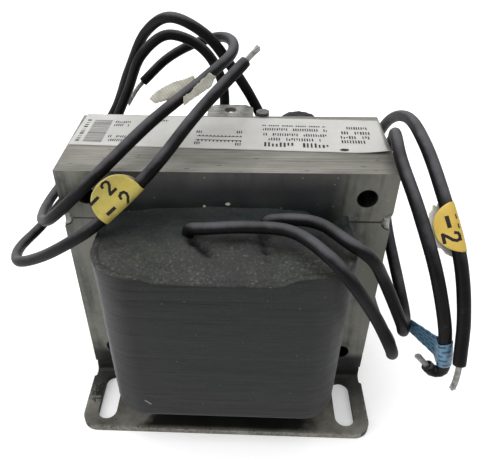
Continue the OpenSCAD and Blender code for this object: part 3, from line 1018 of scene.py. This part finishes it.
# Hollows in the varnish: x, distance out from the core, radius, depth
FRONT_HOLLOWS = [
    (-7.6, 12.6, 1.5, 2.2), (-5.2, 14.8, 1.5, 2.2), (-3.8, 16.8, 1.2, 1.2),
    (11.0, 9.6, 1.5, 2.4), (11.5, 12.6, 1.1, 1.8), (11.8, 15.6, 1.0, 1.3), (12.0, 18.6, 0.9, 0.8),
    (27.5, 0.4, 2.6, 3.0), (31.0, 1.6, 2.4, 3.0), (33.0, 3.4, 1.8, 2.4),
]
REAR_HOLLOWS = [(11.5, 15.5, 1.6, 1.2), (-2.0, 15.5, 1.6, 1.2), (-20, 6, 3.0, 0.9)]
# Height of the rim along the outer wall, from one side to the other
FRONT_RIM = [
    (-35, 73.0), (-22, 72.7), (-17, 71.8), (-8, 71.5), (14, 71.4), (21, 73.6), (26, 74.0), (35, 74.2),
]
REAR_RIM = [(-35, 74.0), (-15, 72.4), (10, 72.0), (35, 74.2)]


def wrap_outline():
    """(x, out, normal x, normal out) round a coil end, from one side of the core to the other."""
    flat = COIL_HALF_X - COIL_R
    straight = COIL_OUT - COIL_R
    half = [(-COIL_HALF_X, straight * i / 16, -1.0, 0.0) for i in range(16)]
    for i in range(22):
        turn = 0.5 * pi * i / 22
        nx, ny = -cos(turn), sin(turn)
        half.append((-flat + COIL_R * nx, straight + COIL_R * ny, nx, ny))
    wall = [(-flat + 2 * flat * i / 60, COIL_OUT, 0.0, 1.0) for i in range(61)]
    return half + wall + [(-x, out, -nx, ny) for x, out, nx, ny in reversed(half)]


def flare(nx, z):
    """How far the side walls lean out at a height near the top."""
    return 0.6 * nx * nx * clamp((z - 56) / 16) ** 1.5


class CoilEnd:
    """A coil end: a taped wall and the varnish in its top. Out is the distance from the core."""

    # how many rows at the top of the wall the varnish covers
    COVERED = 7

    def __init__(self, word, way, rim_line, hollows, seed):
        self.word = word
        self.way = way
        self.rim_line = rim_line
        self.hollows = hollows
        self.seed = seed
        self.add_wrap()
        self.add_varnish()

    def place(self, x, out, z):
        return (x, self.way * (CORE_HALF_Y + out), z)

    def rim_height(self, x):
        for (x0, z0), (x1, z1) in zip(self.rim_line, self.rim_line[1:]):
            if x <= x1:
                return z0 + (z1 - z0) * eased(clamp((x - x0) / (x1 - x0)))
        return self.rim_line[-1][1]

    def dip(self, x):
        """How far the rim is down, from 0 to 1; where it dips the varnish spills over it."""
        return clamp((COIL_TOP - self.rim_height(x)) / 2.5)

    def hollow_depth(self, x, out):
        depth = 0.0
        for hollow_x, hollow_out, radius, deepest in self.hollows:
            away = (x - hollow_x) ** 2 + (out - hollow_out) ** 2
            depth += deepest * exp(-away / (radius * radius))
        return depth

    def varnish_height(self, x, out):
        """Height of the varnish, which rises towards the core."""
        middle = 1 - min(1.0, (x / COIL_HALF_X) ** 2)
        inner = COIL_TOP + 0.4 + 1.4 * middle
        outer = self.rim_height(x) - 0.35
        z = inner + (outer - inner) * clamp(out / COIL_OUT) ** 1.6 + 1.2 * exp(-out / 1.2) * middle
        z += 0.4 * wobble(x, out, 0, 0.16, self.seed) + 0.16 * wobble(x, out, 1, 0.9, self.seed)
        return z - self.hollow_depth(x, out)

    def wall_profile(self, x, out, nx, ny):
        """(distance in from the outline, z) up the wall, from under its foot over its rim."""
        rim = self.varnish_height(x, out)
        rim += 0.45 - 1.1 * self.dip(x) * ny + 0.2 * wobble(x, out, 3, 1.3, self.seed)
        low = COIL_Z + FOOT_R
        high = rim - RIM_R
        profile = [(9.0, COIL_Z), (FOOT_R, COIL_Z)]
        for k in range(1, 7):
            turn = 0.5 * pi * k / 6
            profile.append((FOOT_R * (1 - sin(turn)), low - FOOT_R * cos(turn)))
        for k in range(1, 57):
            t = k / 57
            z = low + (high - low) * t
            layer = 0.07 * wobble(0, 0, z, 0.55, self.seed) + 0.05 * wobble(x, out, z, 0.12, self.seed)
            crease = 0.10 * wobble(x * 0.12, out * 0.12, z, 1.25, self.seed)
            profile.append((-0.2 * sin(pi * t) - layer - crease - flare(nx, z), z))
        for k in range(6):
            turn = 0.5 * pi * k / 5
            profile.append((RIM_R * (1 - cos(turn)) - flare(nx, high), high + RIM_R * sin(turn)))
        return profile + [(1.4, rim - 0.1), (1.9, rim - 1.0)]

    def add_wrap(self):
        """The taped wall, with a rounded foot and a rim that the varnish covers."""
        points = []
        outline = wrap_outline()
        for x, out, nx, ny in outline:
            for inset, z in self.wall_profile(x, out, nx, ny):
                points.append(self.place(x - nx * inset, max(0.02, out - ny * inset), z))
        rows = len(points) // len(outline)
        faces = grid_faces(len(outline), rows)
        faces.append(tuple(i * rows for i in range(len(outline))))
        if self.way > 0:
            faces = turned(faces)
        wrap = add_mesh(f"{self.word}_taped_wrap", points, faces, [WRAP, FILLING])
        # the last face closes the underside
        for face in wrap.data.polygons[:-1]:
            if min(index % rows for index in face.vertices) >= rows - self.COVERED:
                face.material_index = 1
        put_in(wrap, f"{self.word}_coil_wrap")

    def add_varnish(self):
        """The varnish in rows from the core out to the wall; UV x says how deep a hollow is, which sets
        its painted shade.
        """
        rows, columns = 56, 141
        half = COIL_HALF_X - FILLING_INSET
        points = []
        uvs = []
        for share in shares(rows):
            for across in shares(columns):
                x = half * (2 * across - 1)
                dip = self.dip(x)
                corner = COIL_R - FILLING_INSET + 1.15 * dip
                beyond = max(0.0, abs(x) - (COIL_HALF_X - COIL_R))
                out = COIL_OUT - COIL_R + sqrt(max(corner ** 2 - beyond ** 2, 0.0))
                out *= share
                spill = 1.1 * dip * max(0.0, share - 0.95) / 0.05
                points.append(self.place(x, out, self.varnish_height(x, out) - spill))
                uvs.append((min(1.0, self.hollow_depth(x, out) / FULL_SHADE_DEPTH), 0.0))
        faces = grid_faces(rows, columns)
        if self.way < 0:
            faces = turned(faces)
        top = add_mesh(f"{self.word}_varnish_top", points, faces, [FILLING], uvs)
        put_in(top, f"{self.word}_coil_filling")


CoilEnd("front", -1, FRONT_RIM, FRONT_HOLLOWS, 1.7)
CoilEnd("rear", 1, REAR_RIM, REAR_HOLLOWS, 6.1)


def rounded(value, power):
    """A sine or cosine drawn out towards 1, which turns a round outline into a squarish one."""
    return copysign(abs(value) ** power, value)


def add_rear_lump():
    """The flat heap of varnish and tape ends on the rear coil end."""
    rows, columns = 26, 56
    middle_x, middle_y, foot_z = 24.75, 37.6, 72.3
    half_x, half_y = 6.8, 4.3
    points = []
    for share in shares(rows):
        rise = 0.5 * pi * share
        flat = rounded(cos(rise), 0.4)
        tall = rounded(sin(rise), 0.4)
        for cosine, sine in circle(columns):
            # rounder on the right, where the wrap's corner is near
            power = 0.9 if cosine > 0 else 0.3
            x = middle_x + half_x * flat * rounded(cosine, power)
            y = middle_y + half_y * flat * rounded(sine, power)
            peak = 7.2 - 0.024 * (x - 25.2) ** 2 + 0.5 * wobble(x, y, 0, 0.5, 9)
            z = foot_z + peak * tall + 0.25 * wobble(x, y, rise, 1.1, 3) * tall
            x += 0.25 * wobble(x, y, z, 0.5, 2) * flat
            points.append((x, y, z))
    # UV x darkens it as a hollow of the filling is darkened
    uvs = [(0.55, 0.0)] * len(points)
    obj = add_mesh("rear_varnish_heap", points, grid_faces(rows, columns, ring=True), [FILLING], uvs)
    put_in(obj, "rear_varnish_lump")


add_rear_lump()


# ---- weld beads in the side notches
def add_weld(word, side):
    """A rippled bead laid in the round notch along the seam, with a dome at each end."""
    radius = 2.82
    half_y = CORE_HALF_Y - 0.1
    rows, columns = 141, 30
    points = []
    for share in shares(rows):
        y = half_y * (2 * share - 1)
        full = sqrt(max(0.0, 1 - (1 - min(1.0, (half_y - abs(y)) / 1.6)) ** 2))
        ripple = 0.22 * sin(y * 2.4 + 1.2 * sin(y * 0.5))
        for j in range(columns):
            turn = tau * j / columns
            deep = cos(turn)
            # one side fills the notch, the other shows
            inward = radius * deep
            if deep <= 0:
                crown = 0.5 - 0.2 * full + ripple + 0.25 * wobble(0, y, turn, 0.8, side)
                inward = max(0.04, crown * -deep)
            up = radius * sin(turn) * (0.82 + 0.18 * full)
            points.append((side * (CORE_HALF_X - inward), y, SEAM_Z + up))
    faces = grid_faces(rows, columns, ring=True)
    faces.append(tuple(reversed(range(columns))))
    faces.append(tuple(range((rows - 1) * columns, rows * columns)))
    obj = add_mesh(f"{word}_weld_seam", points, turned(faces) if side > 0 else faces, [WELD])
    put_in(obj, f"{word}_weld_bead")


add_weld("left", -1)
add_weld("right", 1)


# ---- label
LABEL_HALF_U = 47.0
LABEL_HALF_V = 10.8
LABEL_Y = 6.0
LABEL_TURN = radians(-2.4)
LABEL_T = 0.12
# How far the print and the edge of the blot lie over the sheet's underside
PRINT_LIFT = 0.16
BLOT_LIFT = 0.17


def label_point(u, v, lift=0.0):
    """A point over the label, whose front right corner curls up; u and v run along its sides."""
    x = u * cos(LABEL_TURN) - v * sin(LABEL_TURN)
    y = LABEL_Y + u * sin(LABEL_TURN) + v * cos(LABEL_TURN)
    corner = max(0.0, (u - 39) / 8 + (-6 - v) / 5 - 0.6)
    off = 0.05 + 0.55 * min(corner, 1.6) ** 2 + 0.03 * wobble(u, v, 0, 0.2, 8)
    return Vector((x, y, CORE_TOP + off + lift))


def add_label():
    """The sheet, whose rear edge is torn unevenly towards the left."""
    rows, columns = 31, 121
    points = []
    for back in shares(rows):
        for across in shares(columns):
            u = LABEL_HALF_U * (2 * across - 1)
            torn = 0.5 * wobble(u, 0, 0, 0.5, 4) * max(0.0, -u / LABEL_HALF_U - 0.2)
            torn += 0.12 * wobble(u, 0, 0, 1.7, 2)
            v = -LABEL_HALF_V + (2 * LABEL_HALF_V + torn) * back
            points.append(label_point(u, v))
    obj = add_mesh("label_sheet", points, grid_faces(rows, columns), [LABEL])
    thicken(obj, LABEL_T, offset=1.0)
    return put_in(obj, "nameplate_label")


class Print:
    """Flat bars collected on the label: (u0, v0, u1, v1) in the label's own directions."""

    def __init__(self):
        self.bars = []

    def bar(self, u0, v0, u1, v1):
        self.bars.append((min(u0, u1), min(v0, v1), max(u0, u1), max(v0, v1)))

    def ticks(self, u0, u1, v, tall, seed):
        """A row of upright ticks of uneven width and height, spaced like words."""
        pitch = tall * 0.42
        u = u0
        k = 0
        while u + pitch <= u1:
            if (k + 3 * seed) % 13 < 11:
                wide = pitch * (0.52 + 0.2 * wobble(k * 1.7, 2.3, seed, 0.9))
                low = 0.3 if wobble(k * 2.9, 5.1, seed, 1.1) > 0.3 else 0.0
                high = 0.7 if wobble(k * 2.3, 8.7, seed, 1.3) > 0.3 else 1.0
                self.bar(u, v + low * tall, u + wide, v + high * tall)
            u += pitch
            k += 1

    def dashes(self, u0, u1, v, tall, seed):
        """A row of short dashes for print too small to draw."""
        u = u0
        k = 0
        while u < u1:
            wide = tall * (0.5 + 0.6 * abs(wobble(k, seed, 0, 1.7)))
            if (k + seed) % 6 != 5:
                self.bar(u, v, min(u + wide, u1), v + tall)
            u += wide + 0.3 * tall
            k += 1

    def bar_code(self, u0, u1, v0, v1):
        """Plain bars of uneven thickness, one above the other."""
        v = v0
        k = 0
        while v < v1:
            thick = 0.16 + 0.3 * abs(wobble(k, 2, 0, 2.3))
            self.bar(u0, v, u1, v + thick)
            v += thick + 0.3 + 0.5 * abs(wobble(k, 7, 0, 1.9))
            k += 1

    def comb(self, u, v, way):
        """A winding: a line with twelve short teeth towards one side."""
        self.bar(u - 0.6, v, u + 13.2, v + 0.35)
        for i in range(12):
            self.bar(u + 1.15 * i, v, u + 1.15 * i + 0.4, v + way * 0.9)

    def add(self, base):
        """The bars as one mesh, each cut short enough to follow the label's curl."""
        points = []
        faces = []
        for u0, v0, u1, v1 in self.bars:
            cuts = max(1, ceil((u1 - u0) / 1.5))
            for c in range(cuts):
                a = u0 + (u1 - u0) * c / cuts
                b = u0 + (u1 - u0) * (c + 1) / cuts
                faces.append(tuple(range(len(points), len(points) + 4)))
                points += [label_point(u, v, PRINT_LIFT) for u, v in ((a, v0), (b, v0), (b, v1), (a, v1))]
        put_on(add_mesh("label_print", points, faces, [INK]), base)


def add_print(base):
    """Generic print: a bar code, rows of ticks and a plain two-winding diagram."""
    p = Print()
    p.bar_code(-43.2, -37.4, -8.6, 6.6)
    for k in range(10):
        p.bar(-45.6, -8.4 + 1.55 * k, -44.4, -7.5 + 1.55 * k - 0.3 * (k % 3))
    # short rows beside the bar code
    for u1, v, seed in ((-29.5, 4.4, 1), (-31.0, 2.2, 2), (-30.0, -5.6, 3), (-29.2, -8.0, 4)):
        p.ticks(-36.2, u1, v, 1.5, seed)
    p.dashes(-25.5, -19.5, 6.4, 0.9, 2)
    # the two windings and the figures at their ends
    p.comb(-8.6, -3.2, 1)
    p.comb(-8.6, -5.6, -1)
    for u, v in ((-9.6, -1.0), (2.8, -0.7), (-9.4, -8.4), (2.8, -8.6)):
        p.ticks(u, u + 2.6, v, 1.6, 5)
    # long rows in the middle
    p.ticks(11.4, 31.0, -8.6, 2.7, 1)
    p.ticks(12.6, 29.0, -4.7, 1.8, 2)
    p.ticks(11.0, 30.5, -1.6, 1.7, 3)
    p.ticks(10.0, 31.0, 1.9, 1.7, 4)
    p.dashes(10.5, 30.0, 4.9, 0.8, 3)
    # short rows on the right
    p.ticks(34.2, 43.0, -5.2, 1.9, 5)
    p.ticks(34.2, 43.4, -2.4, 1.9, 6)
    p.ticks(34.6, 43.4, 0.6, 1.9, 7)
    p.ticks(35.0, 43.4, 4.0, 1.7, 8)
    p.add(base)


def add_blot(base):
    """A dark blot near the label's front edge."""
    middle_u, middle_v = 34.6, -9.4
    points = [label_point(middle_u, middle_v, BLOT_LIFT + 0.03)]
    count = 18
    for cosine, sine in circle(count):
        r = 1.0 + 0.3 * wobble(cosine, sine, 0, 1.5, 5)
        points.append(label_point(middle_u + 1.25 * r * cosine, middle_v + 0.8 * r * sine, BLOT_LIFT))
    faces = [(0, 1 + i, 1 + (i + 1) % count) for i in range(count)]
    put_on(add_mesh("label_blot", points, faces, [FILLING]), base)


label = add_label()
add_print(label)
add_blot(label)


# ---- CAD pieces that show as they are
def dress(node, material, bevel=0.0):
    """Gives a CAD node its finish and soft edges."""
    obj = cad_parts[node]
    obj.data.materials.clear()
    obj.data.materials.append(material)
    if bevel:
        edge = obj.modifiers.new("soft_edge", "BEVEL")
        edge.width = bevel * MM
        edge.segments = 3
        edge.limit_method = "ANGLE"
        edge.angle_limit = radians(35)
        edge.harden_normals = True


dress("base", BASE, 0.45)
dress("e_laminations", LAMINATIONS, 0.22)
dress("i_laminations", LAMINATIONS, 0.22)
dress("winding", WINDING)
dress("earth_tab", STEEL, 0.25)
dress("earth_tab_weld", WELD)
dress("weld_nub", NUB, 0.4)


# ---- floor and light
def add_floor():
    """A pale floor that glows a little, twelve metres across."""
    m = Material("floor")
    m.color = m.ramp(m.noise(6, 3), [(0.3, grey(0.83)), (0.7, grey(0.86))])
    m.put(m.shader.inputs["Emission Color"], grey(1.0))
    m.put(m.shader.inputs["Emission Strength"], 0.25)
    reach = 6000.0
    corners = [(-reach, -reach, 0), (reach, -reach, 0), (reach, reach, 0), (-reach, reach, 0)]
    obj = add_mesh("floor", corners, [(0, 1, 2, 3)], [m.finish(0.65)])
    # just below the base, so that the two don't flicker
    obj.location.z = -0.02 * MM


def add_light(name, place, size, power):
    """A soft rectangle of light in metres, aimed at the middle of the object."""
    data = bpy.data.lights.new(name, "AREA")
    data.shape = "RECTANGLE"
    data.size, data.size_y = size
    data.energy = power
    light = link(bpy.data.objects.new(name, data))
    light.location = place
    aim = Vector((0, 0, 0.05)) - Vector(place)
    light.rotation_euler = aim.to_track_quat("-Z", "Y").to_euler()


def add_world():
    world = bpy.data.worlds.new("pale_room")
    world.use_nodes = True
    background = world.node_tree.nodes["Background"]
    background.inputs["Color"].default_value = (1.0, 1.0, 1.0, 1.0)
    background.inputs["Strength"].default_value = 0.52
    bpy.context.scene.world = world
    bpy.context.scene.view_settings.view_transform = "Standard"


add_floor()
add_light("soft_top", (0.0, 0.1, 0.95), (1.0, 0.8), 7.2)
add_light("soft_left", (-0.8, -0.35, 0.55), (0.6, 0.8), 6.0)
add_light("soft_right", (0.8, -0.2, 0.5), (0.5, 0.8), 1.2)
add_light("soft_back", (-0.25, 1.1, 0.5), (1.2, 0.25), 2.5)
add_world()
